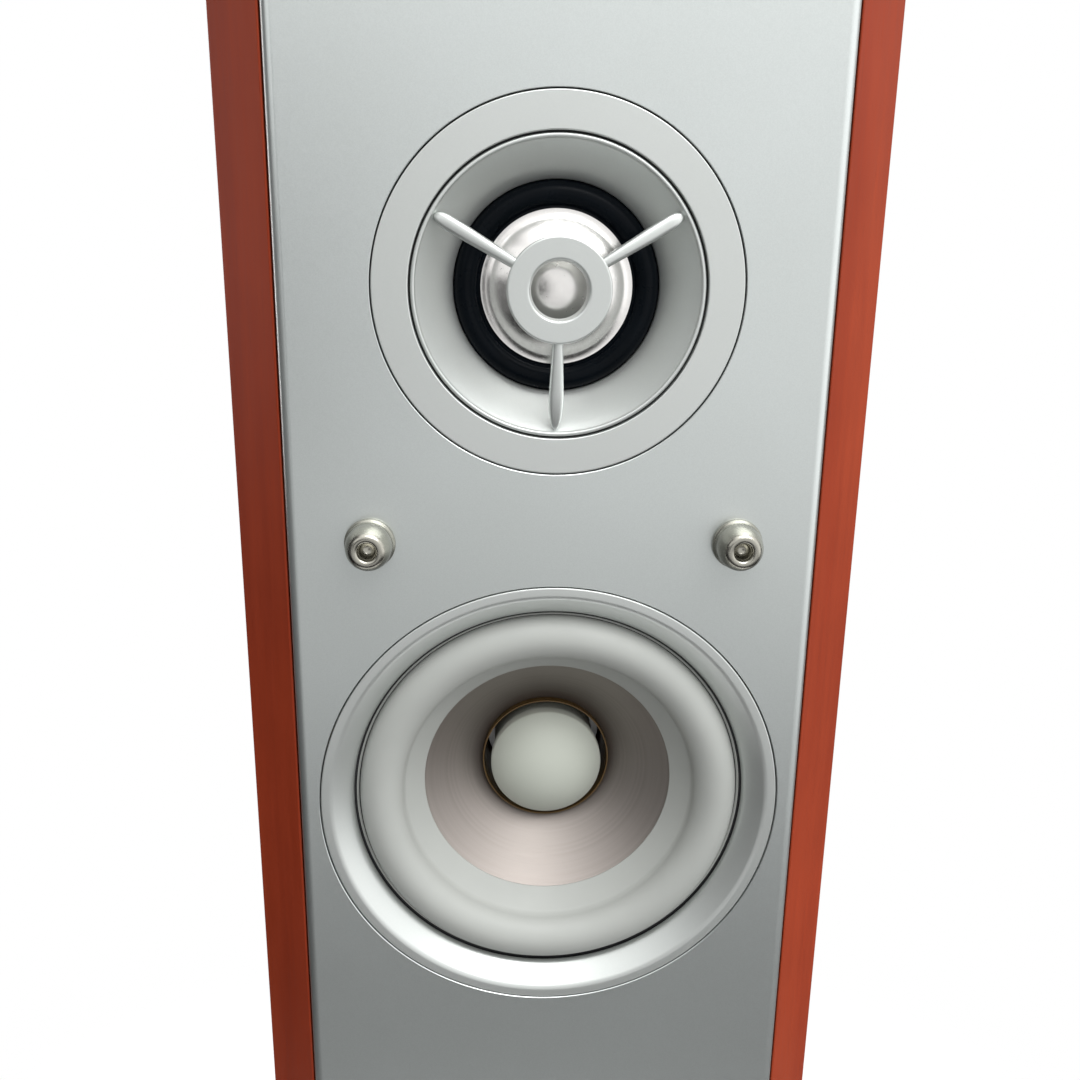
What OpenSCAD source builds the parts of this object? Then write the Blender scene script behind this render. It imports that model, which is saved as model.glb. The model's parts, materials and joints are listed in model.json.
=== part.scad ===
// Slim two-way floorstanding speaker: silver front between two cherry sides, on a plinth with
// four levelling feet. Front faces -Y, up is +Z, and the origin is at the middle of the footprint.

/* [Cabinet] */
// Height of the cabinet box above the plinth
cab_h = 880; // [820:10:960]
// Width over the two wood sides
cab_w = 185; // [185:0.5:189]
// Depth from the silver front to the back panel's face
cab_d = 262; // [250:2:270]
// Width of the silver front
front_w = 151.2; // [150.2:0.1:151.6]
// Thickness of the silver front
front_t = 8; // [8:0.5:9]
// Thickness of the MDF boards
board_t = 18; // [18:0.5:20]
// Depth of the bevel along the front edges of the sides
bevel_d = 16.5; // [12:0.5:18]
// How far the front edges of the sides sit behind the silver front
side_setback = 2.6; // [2:0.1:4]

/* [Base] */
// Width of the plinth
plinth_w = 226; // [214:2:240]
// Depth of the plinth
plinth_d = 292; // [292:2:310]
// Thickness of the plinth
plinth_t = 22; // [22:1:26]
// Height of the plinth's underside above the floor
foot_h = 30; // [30:1:34]
// Travel of each levelling foot
foot_travel = 8; // [4:1:10]

/* [Drivers] */
// Distance from the cabinet's top to the tweeter's centre
tweeter_drop = 86; // [80:1:100]
// Distance from the tweeter's centre to the woofer's centre
driver_spacing = 152.7; // [148:0.1:170]
// Radius of the tweeter's faceplate
tweeter_r = 50; // [49:0.1:50.4]
// Radius of the woofer's trim ring
woofer_r = 69.2; // [68.8:0.1:69.6]
// Outer radius of the woofer's voice-coil former
former_r = 20.6; // [20.4:0.1:20.8]

/* [Grille posts] */
// Distance from the tweeter's centre down to the upper posts
post_drop = 70; // [68:1:72]
// Distance from the middle of the front to each post
post_x = 52; // [48:0.5:56]
// Height of the lower posts above the cabinet's bottom
post_low = 78; // [60:1:120]
// How far a post stands out of the front
post_len = 10; // [8:0.5:12]

/* [Rear] */
// Height of the reflex port's axis above the cabinet's bottom
port_up = 403; // [390:1:440]
// Inner radius of the reflex port
port_r = 27; // [24:0.5:28]
// Length of the reflex port's tube
port_len = 118; // [80:2:140]
// Height of the terminal cup's centre above the cabinet's bottom
cup_up = 98; // [90:1:104]
// Distance between the two binding posts
terminal_gap = 38; // [34:0.5:42]
// Travel of a binding post's cap
cap_travel = 5; // [3:0.5:6]

/* [Hidden] */

$fn = 96;
eps = 0.01;

// Heights of the main levels
floor_z = foot_h + plinth_t;
top_z = floor_z + cab_h;
tweeter_z = top_z - tweeter_drop;
woofer_z = tweeter_z - driver_spacing;
post_high_z = tweeter_z - post_drop;
post_low_z = floor_z + post_low;
port_z = floor_z + port_up;
cup_z = floor_z + cup_up;

// Depths of the main levels: the plinth's middle is at y = 0
front_y = -130;
rear_y = front_y + cab_d;
board_y = front_y + front_t;
inner_front_y = board_y + board_t;
inner_rear_y = rear_y - board_t;
inner_x = 76;

// Cabinet details
front_round = 3.2;
brace_t = 15;
brace_low_z = floor_z + 278;
brace_high_z = floor_z + 523;
foot_x = 95;
foot_y = 128;
stud_r = 3.95;
insert_bore_r = 4;
bolt_x = 58;
bolt_y = 95;
wadding_t = 22;

// Screw circles under the drivers' trim rings
woofer_screw_circle = 65.2;
tweeter_screw_circle = 45;
woofer_screw_r = 2;
tweeter_screw_r = 1.8;

// Depths inside the drivers, measured from the silver front
woofer_plate_z = 54;
tweeter_plate_z = 17;
dome_rim_r = 21;
dome_rim_z = 12.2;

// Terminal cup and crossover
cup_w = 100;
cup_h = 120;
cup_flange = 3;
cup_depth = 21;
cup_edge = 6.5;
cup_screw_inset = 3.4;
post_stud_r = 3.9;
banana_r = 2.02;
crossover_z = floor_z + 213;
crossover_w = 110;
crossover_h = 80;
crossover_t = 1.6;
crossover_gap = 6;
crossover_hole_inset = 6;

// A point at radius r and angle a around c
function polar(c, r, a) = [c[0] + r * cos(a), c[1] + r * sin(a)];

// Points along an arc around c, from angle a to angle b, in n steps
function arc(c, r, a, b, n) = [for (i = [0:n]) polar(c, r, a + (b - a) * i / n)];

// Driver frame: X to the right, Y down, Z into the cabinet from the silver front
module at_driver(z) translate([0, front_y, z]) rotate([-90, 0, 0]) children();

// Rear frame: X to the right, Y up, Z into the cabinet from the back panel's face
module at_rear(z) translate([0, rear_y, z]) rotate([90, 0, 0]) children();

module around(count, radius, start) {
    for (i = [0:count - 1])
        rotate([0, 0, start + i * 360 / count])
            translate([radius, 0, 0])
                children();
}

module corners(dx, dy) {
    for (x = [-dx, dx], y = [-dy, dy])
        translate([x, y, 0])
            children();
}

module turned(profile) rotate_extrude() polygon(profile);

module ring(outer_r, inner_r, low, high) {
    turned([[inner_r, low], [outer_r, low], [outer_r, high], [inner_r, high]]);
}

module rod(r, low, high) translate([0, 0, low]) cylinder(r = r, h = high - low);

module rounded_plate(w, d, h, r) {
    linear_extrude(height = h) {
        square([w - 2 * r, d], center = true);
        square([w, d - 2 * r], center = true);
        corners(w / 2 - r, d / 2 - r) circle(r = r, $fn = 48);
    }
}

// ---------------------------------------------------------------- cabinet

module side_panel(side) {
    outer = cab_w / 2;
    tip_y = front_y + side_setback;
    translate([0, 0, floor_z])
        linear_extrude(height = cab_h)
            polygon([
                [side * inner_x, tip_y],
                [side * (inner_x + 0.5), tip_y],
                [side * outer, tip_y + bevel_d],
                [side * outer, rear_y - 1.5],
                [side * (outer - 1.5), rear_y],
                [side * inner_x, rear_y]
            ]);
}

module side_panel_left() color("brown") side_panel(-1);

module side_panel_right() color("brown") side_panel(1);

module flat_panel(z) {
    translate([-inner_x, board_y, z])
        cube([2 * inner_x, rear_y - board_y, board_t]);
}

module top_panel() color("brown") flat_panel(top_z - board_t);

module bottom_panel() {
    color("tan")
        difference() {
            flat_panel(floor_z);
            translate([0, 0, floor_z - eps])
                corners(bolt_x, bolt_y) cylinder(r = 2.5, h = board_t + 2 * eps);
        }
}

module upright_board(y) {
    translate([-inner_x, y, floor_z + board_t])
        cube([2 * inner_x, board_t, cab_h - 2 * board_t]);
}

module back_panel() {
    color("dimgray")
        difference() {
            upright_board(inner_rear_y);
            at_rear(port_z) rod(40.3, -1, board_t + 1);
            at_rear(cup_z)
                translate([-cup_w / 2 + cup_edge - 0.3, -cup_h / 2 + cup_edge - 0.3, -1])
                    cube([cup_w - 2 * cup_edge + 0.6, cup_h - 2 * cup_edge + 0.6, board_t + 2]);
            at_rear(cup_z)
                corners(cup_w / 2 - cup_screw_inset, cup_h / 2 - cup_screw_inset)
                    rod(1.5, -1, 14);
            at_rear(crossover_z)
                corners(crossover_w / 2 - crossover_hole_inset, crossover_h / 2 - crossover_hole_inset)
                    rod(1.5, 8, board_t + 1);
        }
}

module baffle_board() {
    color("tan")
        difference() {
            upright_board(board_y);
            at_driver(tweeter_z) {
                rod(41, 0, 30);
                around(4, tweeter_screw_circle, 45) rod(tweeter_screw_r, 0, 24);
            }
            at_driver(woofer_z) {
                rod(61, 0, 30);
                rod(69, 0, 10);
                around(4, woofer_screw_circle, 45) rod(woofer_screw_r, 0, 25);
            }
            post_places() rod(4, 0, 20);
        }
}

// The two upper and the two lower grille posts
module post_places() {
    for (x = [-post_x, post_x], z = [post_high_z, post_low_z])
        translate([x, 0, 0])
            at_driver(z)
                children();
}

module front_fascia() {
    half = front_w / 2;
    round_l = arc([front_round - half, front_y + front_round], front_round, 180, 270, 6);
    round_r = arc([half - front_round, front_y + front_round], front_round, 270, 360, 6);
    color("silver")
        difference() {
            translate([0, 0, floor_z + 0.6])
                linear_extrude(height = cab_h - 1.2)
                    polygon(concat(round_l, round_r, [[half, board_y], [-half, board_y]]));
            at_driver(tweeter_z) rod(tweeter_r + 0.35, -1, front_t + 1);
            at_driver(woofer_z) rod(woofer_r + 0.35, -1, front_t + 1);
            post_places() rod(3.1, -1, front_t + 1);
        }
}

module window_brace(z) {
    depth = inner_rear_y - inner_front_y;
    translate([0, (inner_front_y + inner_rear_y) / 2, z])
        difference() {
            translate([-inner_x, -depth / 2, 0]) cube([2 * inner_x, depth, brace_t]);
            translate([0, 0, -1]) rounded_plate(96, depth - 64, brace_t + 2, 20);
        }
}

module window_braces() {
    color("tan") {
        window_brace(brace_low_z);
        window_brace(brace_high_z);
    }
}

module damping_wadding() {
    color("ivory")
        translate([-inner_x + 2, inner_rear_y - wadding_t - 0.5, brace_high_z + brace_t + 8])
            cube([2 * inner_x - 4, wadding_t, 290]);
}

// ---------------------------------------------------------------- base

module plinth() {
    color("black")
        difference() {
            translate([0, 0, foot_h]) rounded_plate(plinth_w, plinth_d, plinth_t, 20);
            corners(foot_x, foot_y) rod(6, foot_h - 1, foot_h + 19);
            corners(bolt_x, bolt_y) {
                rod(2.7, foot_h - 1, floor_z + 1);
                rod(6.2, foot_h - 1, foot_h + 6);
            }
        }
}

module plinth_bolts() {
    color("dimgray")
        corners(bolt_x, bolt_y)
            difference() {
                union() {
                    rod(5.8, foot_h + 1.5, foot_h + 6);
                    rod(2.5, foot_h + 6, floor_z + 16);
                }
                translate([0, 0, foot_h + 1]) cylinder(r = 2.9, h = 3, $fn = 6);
            }
}

module foot_inserts() {
    color("goldenrod") corners(foot_x, foot_y) ring(6, insert_bore_r, foot_h, foot_h + 19);
}

module lock_nuts() {
    color("silver")
        corners(foot_x, foot_y)
            difference() {
                translate([0, 0, foot_h - 4.5]) cylinder(r = 7.5, h = 4.5, $fn = 6);
                rod(insert_bore_r, foot_h - 5, foot_h + 1);
            }
}

module foot(x, y) {
    shoulder = foot_h - 4.8;
    color("dimgray")
        translate([x, y, 0])
            turned([
                [0, 0], [8, 0], [9.5, 1.2], [15, shoulder - 8], [15, shoulder - 4.5],
                [13.8, shoulder - 3.2], [7, shoulder - 3.2], [7, shoulder],
                [stud_r, shoulder], [stud_r, foot_h + 17], [stud_r - 0.8, foot_h + 18],
                [0, foot_h + 18]
            ]);
}

module foot_front_left() foot(-foot_x, -foot_y);

module foot_front_right() foot(foot_x, -foot_y);

module foot_rear_left() foot(-foot_x, foot_y);

module foot_rear_right() foot(foot_x, foot_y);

// ---------------------------------------------------------------- front fittings

module grille_posts() {
    color("gainsboro")
        post_places()
            turned([
                [0, 14], [3.05, 14], [3.05, 0], [7.2, 0], [7.2, -1.4], [6.6, -2.2],
                [6.5, 0.52 - post_len / 2], [6.1, 2.9 - post_len], [5.3, 1.1 - post_len],
                [4.4, -post_len], [2.7, -post_len], [2.2, 1.2 - post_len], [2.2, 4 - post_len],
                [0, 5 - post_len]
            ]);
}

// ---------------------------------------------------------------- woofer

module woofer_trim_ring() {
    r = woofer_r;
    color("silver")
        at_driver(woofer_z)
            difference() {
                turned([
                    [r, 0.35], [r - 0.35, 0], [r - 2.6, 0], [r - 3.4, 0.3], [r - 8, 4.2],
                    [r - 9, 5.4], [r - 9.3, 6.3], [r - 9.3, 6.7], [r, 6.7]
                ]);
                around(4, woofer_screw_circle, 45) rod(3.8, 5, 7);
            }
}

module woofer_basket() {
    shell = [
        [58.4, 7.6], [68.3, 7.6], [68.3, 9.5], [60.4, 9.5], [58.6, 12], [44, 44], [44, 47],
        [40, woofer_plate_z], [24, woofer_plate_z], [24, 52], [38.6, 52], [41.2, 46.4],
        [36.5, 46.4], [36.5, 44.6], [41.6, 44.6], [56.5, 11]
    ];
    color("dimgray")
        at_driver(woofer_z)
            difference() {
                turned(shell);
                around(4, 50, 45) translate([-20, -26, 16]) cube([40, 52, 26]);
                around(4, woofer_screw_circle, 45) rod(woofer_screw_r, 7, 10);
            }
}

module woofer_gasket() {
    color("black")
        at_driver(woofer_z)
            difference() {
                ring(68.3, 61.5, 9.5, 10);
                around(4, woofer_screw_circle, 45) rod(woofer_screw_r, 9, 11);
            }
}

module woofer_screws() {
    color("dimgray")
        at_driver(woofer_z)
            around(4, woofer_screw_circle, 45) {
                rod(woofer_screw_r, 7.6, 25);
                rod(3.4, 5.4, 7.6);
            }
}

module woofer_surround() {
    roll_c = [51.6, 8];
    roll_r = 6.6;
    front = arc(roll_c, roll_r, 0, -180, 16);
    back = arc(roll_c, roll_r - 0.8, -180, 0, 16);
    color("whitesmoke")
        at_driver(woofer_z)
            turned(concat(
                [[61.6, 6.9], [58.7, 6.9]],
                front,
                [[44.4, 9.6], [38.7, 15.6], [39.2, 16.2], [45.1, 10.2]],
                back,
                [[57.5, 7.6], [61.6, 7.6]]
            ));
}

module woofer_cone() {
    color("rosybrown")
        at_driver(woofer_z)
            turned([
                [43.6, 12], [39.4, 16.4], [30, 24.9], [former_r + 0.1, 32.5],
                [former_r + 0.1, 33.6], [30, 25.9], [39.8, 17], [44, 12.6]
            ]);
}

module woofer_former() {
    color("goldenrod") at_driver(woofer_z) ring(former_r, former_r - 0.35, 30, 63);
}

module woofer_coil() {
    color("chocolate") at_driver(woofer_z) ring(former_r + 0.9, former_r, 50.5, 63);
}

module woofer_spider() {
    wave_n = 28;
    from_r = former_r + 0.15;
    to_r = 36;
    wave_r = [for (i = [0:wave_n]) from_r + (to_r - from_r) * i / wave_n];
    wave_z = [for (i = [0:wave_n]) 43.6 + 0.9 * sin(i * 360 * 3.5 / wave_n)];
    front = [for (i = [0:wave_n]) [wave_r[i], wave_z[i]]];
    back = [for (i = [0:wave_n]) [wave_r[wave_n - i], wave_z[wave_n - i] + 0.5]];
    color("khaki")
        at_driver(woofer_z)
            turned(concat(front, [[41, 43.9], [41, 44.5], [36.3, 44.5]], back));
}

module woofer_phase_plug() {
    base_r = 17.9;
    dome_h = 9;
    dome_r = (base_r * base_r + dome_h * dome_h) / (2 * dome_h);
    edge = asin(base_r / dome_r);
    dome = [for (i = [0:12]) polar([0, 18 + dome_r], dome_r, -90 + edge * i / 12)];
    color("whitesmoke")
        at_driver(woofer_z)
            turned(concat(
                dome,
                [[base_r, 31], [16.6, 32.5], [16.6, woofer_plate_z], [0, woofer_plate_z]]
            ));
}

module woofer_top_plate() {
    color("silver")
        at_driver(woofer_z) ring(42, former_r + 1.7, woofer_plate_z, woofer_plate_z + 5);
}

module woofer_magnet() {
    color("dimgray")
        at_driver(woofer_z) ring(45, 26, woofer_plate_z + 5, woofer_plate_z + 23);
}

module woofer_yoke() {
    p = woofer_plate_z;
    pole_r = former_r - 1.3;
    color("silver")
        at_driver(woofer_z)
            turned([
                [0, p], [pole_r, p], [pole_r, p + 23], [41, p + 23], [42, p + 24],
                [42, p + 28], [41, p + 29], [0, p + 29]
            ]);
}

module woofer_terminals() {
    color("saddlebrown")
        at_driver(woofer_z)
            rotate([0, 0, -11])
                rotate_extrude(angle = 22)
                    polygon([[54.04, 22], [49.48, 32], [50.9, 32.6], [55.5, 22.6]]);
}

// ---------------------------------------------------------------- tweeter

module tweeter_trim_ring() {
    r = tweeter_r;
    color("silver")
        at_driver(tweeter_z)
            turned([
                [40.15, 0.35], [40.5, 0], [r - 0.4, 0], [r - 0.05, 0.35], [r - 0.05, 2.5],
                [40.15, 2.5]
            ]);
}

module tweeter_frame() {
    color("dimgray")
        at_driver(tweeter_z)
            difference() {
                turned([
                    [39.9, 2.5], [49.7, 2.5], [49.7, 8], [38.6, 8], [38.6, tweeter_plate_z],
                    [24, tweeter_plate_z], [24, 14.9], [34, 14.9], [34, 10], [37.2, 4.6],
                    [39.9, 4.6]
                ]);
                around(4, tweeter_screw_circle, 45) {
                    rod(3.6, 2, 5);
                    rod(tweeter_screw_r, 2, 9);
                }
            }
}

module tweeter_horn() {
    color("silver")
        at_driver(tweeter_z)
            turned([
                [38.4, 0.8], [38.7, 0.35], [39.2, 0.35], [39.6, 0.75], [39.6, 4.6], [37, 4.6],
                [33.6, 10.2], [33.6, 14.3], [29, 14.3], [28.6, 13.9], [28.6, 12]
            ]);
}

module tweeter_phase_bridge() {
    arm_len = 24.3;
    color("gainsboro")
        at_driver(tweeter_z) {
            turned([
                [7.4, 0.6], [8, -2.7], [8.3, -3], [13.7, -3], [14.1, -2.5], [14, 0.2],
                [13.6, 0.6]
            ]);
            difference() {
                around(3, 13.3, 90)
                    rotate([90, 0, 90])
                        linear_extrude(height = arm_len)
                            polygon([
                                [-1.95, 0.4], [-1.95, -0.8], [-0.6, -1.8], [0.6, -1.8],
                                [1.95, -0.8], [1.95, 0.4], [0.6, 3.2], [-0.6, 3.2]
                            ]);
                turned([[38.4, 0.8], [45, 0.8], [45, 12], [28.6, 12]]);
            }
        }
}

module tweeter_surround() {
    roll_c = [25.1, 13.6];
    roll_r = 3.4;
    front = arc(roll_c, roll_r, 0, -165, 12);
    back = arc(roll_c, roll_r - 0.5, -165, 0, 12);
    color("black")
        at_driver(tweeter_z)
            turned(concat(
                [[33.4, 14.35], [28.5, 14.35]],
                front,
                [
                    [dome_rim_r + 0.06, dome_rim_z + 0.2], [dome_rim_r + 0.06, dome_rim_z + 0.7],
                    [dome_rim_r + 0.9, dome_rim_z + 0.9]
                ],
                back,
                [[28, 14.85], [33.4, 14.85]]
            ));
}

module tweeter_dome() {
    foil = 0.35;
    rise = 6.6;
    brim_r = 5;
    slope = 2 * atan(rise / dome_rim_r);
    cap_r = dome_rim_r / sin(slope) - brim_r;
    brim_c = [dome_rim_r, dome_rim_z - brim_r];
    cap = arc([0, dome_rim_z - rise + cap_r], cap_r, -90, -90 + slope, 14);
    brim = [for (i = [1:5]) polar(brim_c, brim_r, 90 + slope * (1 - i / 5))];
    front = concat(cap, brim);
    last = len(front) - 1;
    back = [for (i = [0:last]) front[last - i] + [0, foil]];
    color("lightgray") at_driver(tweeter_z) turned(concat(front, back));
}

module tweeter_coil() {
    color("chocolate") at_driver(tweeter_z) ring(20.9, 20.1, dome_rim_z + 0.35, 22);
}

module tweeter_top_plate() {
    p = tweeter_plate_z;
    color("silver") at_driver(tweeter_z) ring(37.5, 21.9, p, p + 4);
}

module tweeter_magnet() {
    p = tweeter_plate_z;
    color("dimgray") at_driver(tweeter_z) ring(38, 25, p + 4, p + 16);
}

module tweeter_yoke() {
    p = tweeter_plate_z;
    color("silver")
        at_driver(tweeter_z)
            turned([
                [0, p - 0.5], [19.4, p - 0.5], [19.4, p + 16], [37.5, p + 16],
                [37.5, p + 21], [0, p + 21]
            ]);
}

module tweeter_screws() {
    color("dimgray")
        at_driver(tweeter_z)
            around(4, tweeter_screw_circle, 45) {
                rod(tweeter_screw_r, 5, 24);
                rod(3.3, 2.8, 5);
            }
}

// ---------------------------------------------------------------- rear fittings

module port_flare() {
    lip = 4;
    collar_z = 17;
    throat = [for (i = [0:12]) [port_r + 15 * (1 - cos(i * 7.5)), 14 - (14 + lip) * sin(i * 7.5)]];
    color("dimgray")
        at_rear(port_z)
            turned(concat(
                [[port_r, collar_z], [port_r, 14]],
                throat,
                [
                    [46.8, -lip], [48, 1.2 - lip], [48, 0], [40, 0], [40, board_t],
                    [port_r + 6, board_t + 1], [port_r + 6, collar_z + 18],
                    [port_r + 3.2, collar_z + 18], [port_r + 3.2, collar_z]
                ]
            ));
}

module port_tube() {
    color("black") at_rear(port_z) ring(port_r + 3.2, port_r, 17, 17 + port_len);
}

module terminal_cup() {
    color("dimgray")
        at_rear(cup_z)
            difference() {
                union() {
                    translate([-cup_w / 2, -cup_h / 2, -cup_flange]) cube([cup_w, cup_h, cup_flange]);
                    translate([-cup_w / 2 + cup_edge, -cup_h / 2 + cup_edge, 0])
                        cube([cup_w - 2 * cup_edge, cup_h - 2 * cup_edge, cup_depth]);
                }
                translate([-cup_w / 2 + cup_edge + 3, -cup_h / 2 + cup_edge + 3, -cup_flange - 1])
                    cube([cup_w - 2 * cup_edge - 6, cup_h - 2 * cup_edge - 6, cup_depth + cup_flange - 2]);
                for (side = [-1, 1])
                    translate([side * terminal_gap / 2, 0, 0]) rod(post_stud_r, 0, cup_depth + 1);
                corners(cup_w / 2 - cup_screw_inset, cup_h / 2 - cup_screw_inset) rod(1.5, -4, 1);
            }
}

module cup_screws() {
    color("dimgray")
        at_rear(cup_z)
            corners(cup_w / 2 - cup_screw_inset, cup_h / 2 - cup_screw_inset) {
                rod(1.5, -cup_flange, 14);
                rod(2.8, -cup_flange - 1.6, -cup_flange);
            }
}

// Local heights of the binding posts, from the back panel's face inwards
cup_floor = cup_depth - 3;
collar_top = cup_floor - 4;
washer_top = collar_top - 1.2;
stud_end = -3.2;
cap_end = -5.4;

module at_post(side) at_rear(cup_z) translate([side * terminal_gap / 2, 0, 0]) children();

module binding_stud() {
    turned([
        [0, cup_depth + 14], [post_stud_r, cup_depth + 14], [post_stud_r, cup_floor],
        [7.5, cup_floor], [7.5, collar_top], [post_stud_r, collar_top],
        [post_stud_r, stud_end], [banana_r + 0.3, stud_end], [banana_r, stud_end + 0.4],
        [banana_r, stud_end + 17], [0, stud_end + 17.8]
    ]);
}

module binding_studs() {
    color("gold")
        for (side = [-1, 1])
            at_post(side) binding_stud();
}

module binding_nuts() {
    color("silver")
        for (side = [-1, 1])
            at_post(side)
                difference() {
                    translate([0, 0, cup_depth]) cylinder(r = 6.5, h = 4, $fn = 6);
                    rod(post_stud_r, cup_depth - 1, cup_depth + 5);
                }
}

module washer(side) {
    color("gold") at_post(side) ring(7, post_stud_r + 0.07, washer_top, collar_top - 0.1);
}

module washer_positive() washer(1);

module washer_negative() washer(-1);

module binding_cap(side) {
    at_post(side)
        difference() {
            turned([
                [post_stud_r + 0.07, washer_top - 0.1], [7, washer_top - 0.1],
                [7.6, washer_top - 0.8], [7.6, cap_end + 1.6], [6.4, cap_end],
                [2.6, cap_end], [2.6, stud_end - 0.6], [post_stud_r + 0.07, stud_end - 0.6]
            ]);
            around(12, 8.3, 0) rod(1.2, cap_end - 1, washer_top - 3);
        }
}

module cap_positive() color("red") binding_cap(1);

module cap_negative() color("black") binding_cap(-1);

// ---------------------------------------------------------------- crossover

// Crossover frame: as the rear frame, with Z 0 on the board's component side, and parts at +Z
module at_crossover() {
    translate([0, inner_rear_y - crossover_gap - crossover_t, crossover_z])
        rotate([90, 0, 0])
            children();
}

module crossover_board() {
    color("darkgreen")
        at_crossover()
            difference() {
                translate([-crossover_w / 2, -crossover_h / 2, -crossover_t])
                    cube([crossover_w, crossover_h, crossover_t]);
                corners(crossover_w / 2 - crossover_hole_inset, crossover_h / 2 - crossover_hole_inset)
                    rod(1.5, -crossover_t - 1, 1);
            }
}

module crossover_inductors() {
    color("chocolate")
        at_crossover() {
            translate([-30, 14, 0]) ring(18, 8, 0, 15);
            translate([34, -20, 0]) ring(14, 7, 0, 12);
        }
}

module crossover_capacitors() {
    color("steelblue")
        at_crossover()
            for (c = [[-14, -24, 8, 34], [26, 16, 7, 28]])
                translate([c[0], c[1], c[2]])
                    rotate([0, 90, 0])
                        cylinder(r = c[2], h = c[3], center = true);
}

module crossover_resistor() {
    color("ivory") at_crossover() translate([-46, -33, 0]) cube([9, 24, 9]);
}

module crossover_screws() {
    color("silver")
        at_crossover()
            corners(crossover_w / 2 - crossover_hole_inset, crossover_h / 2 - crossover_hole_inset) {
                rod(1.5, -crossover_t - crossover_gap - 8, 0);
                rod(3, 0, 1.8);
                ring(3.4, 1.5, -crossover_t - crossover_gap, -crossover_t);
            }
}

// ---------------------------------------------------------------- wiring

wire_r = 1.4;
wire_sides = 8;

function unit(v) = v / norm(v);

// A smooth line through hand-picked points: each corner is cut twice
function cut_corners(p) = concat(
    [p[0]],
    [for (i = [0:len(p) - 2], t = [0.25, 0.75]) p[i] * (1 - t) + p[i + 1] * t],
    [p[len(p) - 1]]
);

function heading(p, i) = unit(p[min(i + 1, len(p) - 1)] - p[max(i - 1, 0)]);

function wire_ring(c, d) =
    let (u = unit(cross(d, [0.31, 0.87, 0.38])), v = cross(u, d))
    [for (k = [0:wire_sides - 1]) c + wire_r * (u * cos(k * 360 / wire_sides) + v * sin(k * 360 / wire_sides))];

module wire(route) {
    p = cut_corners(cut_corners(route));
    n = len(p);
    s = wire_sides;
    points = [for (i = [0:n - 1]) each wire_ring(p[i], heading(p, i))];
    sides = [
        for (i = [0:n - 2], k = [0:s - 1])
            [i * s + k, i * s + (k + 1) % s, (i + 1) * s + (k + 1) % s, (i + 1) * s + k]
    ];
    caps = [[for (k = [0:s - 1]) s - 1 - k], [for (k = [0:s - 1]) (n - 1) * s + k]];
    polyhedron(points, concat(sides, caps), convexity = 6);
}

// Routes start at the binding posts or the crossover board and end at a driver's terminals
module wiring_loom() {
    stud_y = rear_y - cup_depth - 14.2;
    board_face_y = inner_rear_y - crossover_gap - crossover_t - 0.2;
    color("crimson") {
        for (side = [-1, 1])
            wire([
                [side * terminal_gap / 2, stud_y, cup_z],
                [side * terminal_gap / 2, stud_y - 16, cup_z + 4],
                [side * 16, stud_y - 26, cup_z + 50],
                [side * 6, board_face_y - 20, crossover_z - 44],
                [side * 4, board_face_y, crossover_z - 36]
            ]);
        for (side = [0, 1])
            wire([
                [14 + side * 8, board_face_y, crossover_z + 34],
                [14 + side * 8, board_face_y - 24, crossover_z + 40],
                [36 + side * 5, 30, brace_low_z + 20],
                [38 + side * 5, 25, brace_high_z - 10],
                [42 + side * 4, -10, woofer_z - 60],
                [58, -60, woofer_z - 4 + side * 8],
                [57.2, front_y + 30, woofer_z - 4 + side * 8]
            ]);
        for (side = [0, 1])
            wire([
                [-4 - side * 8, board_face_y, crossover_z + 34],
                [-4 - side * 8, board_face_y - 22, crossover_z + 42],
                [-34 - side * 5, 20, brace_low_z + 20],
                [-36 - side * 5, 15, brace_high_z + 30],
                [-58 - side * 5, -20, woofer_z + 10],
                [-46 - side * 5, -50, tweeter_z - 40],
                [-24 - side * 6, front_y + tweeter_plate_z + 36, tweeter_z - 6],
                [-24 - side * 6, front_y + tweeter_plate_z + 21.3, tweeter_z]
            ]);
    }
}

// ---------------------------------------------------------------- nodes

side_panel_left();
side_panel_right();
top_panel();
bottom_panel();
back_panel();
baffle_board();
front_fascia();
window_braces();
damping_wadding();
plinth();
plinth_bolts();
foot_inserts();
lock_nuts();
foot_front_left();
foot_front_right();
foot_rear_left();
foot_rear_right();
grille_posts();
port_flare();
port_tube();
terminal_cup();
cup_screws();
binding_studs();
binding_nuts();
washer_positive();
washer_negative();
cap_positive();
cap_negative();
crossover_board();
crossover_inductors();
crossover_capacitors();
crossover_resistor();
crossover_screws();
wiring_loom();
woofer_trim_ring();
woofer_basket();
woofer_gasket();
woofer_screws();
woofer_surround();
woofer_cone();
woofer_former();
woofer_coil();
woofer_spider();
woofer_phase_plug();
woofer_top_plate();
woofer_magnet();
woofer_yoke();
woofer_terminals();
tweeter_trim_ring();
tweeter_frame();
tweeter_horn();
tweeter_phase_bridge();
tweeter_surround();
tweeter_dome();
tweeter_coil();
tweeter_top_plate();
tweeter_magnet();
tweeter_yoke();
tweeter_screws();
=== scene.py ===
import json
import math

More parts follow.
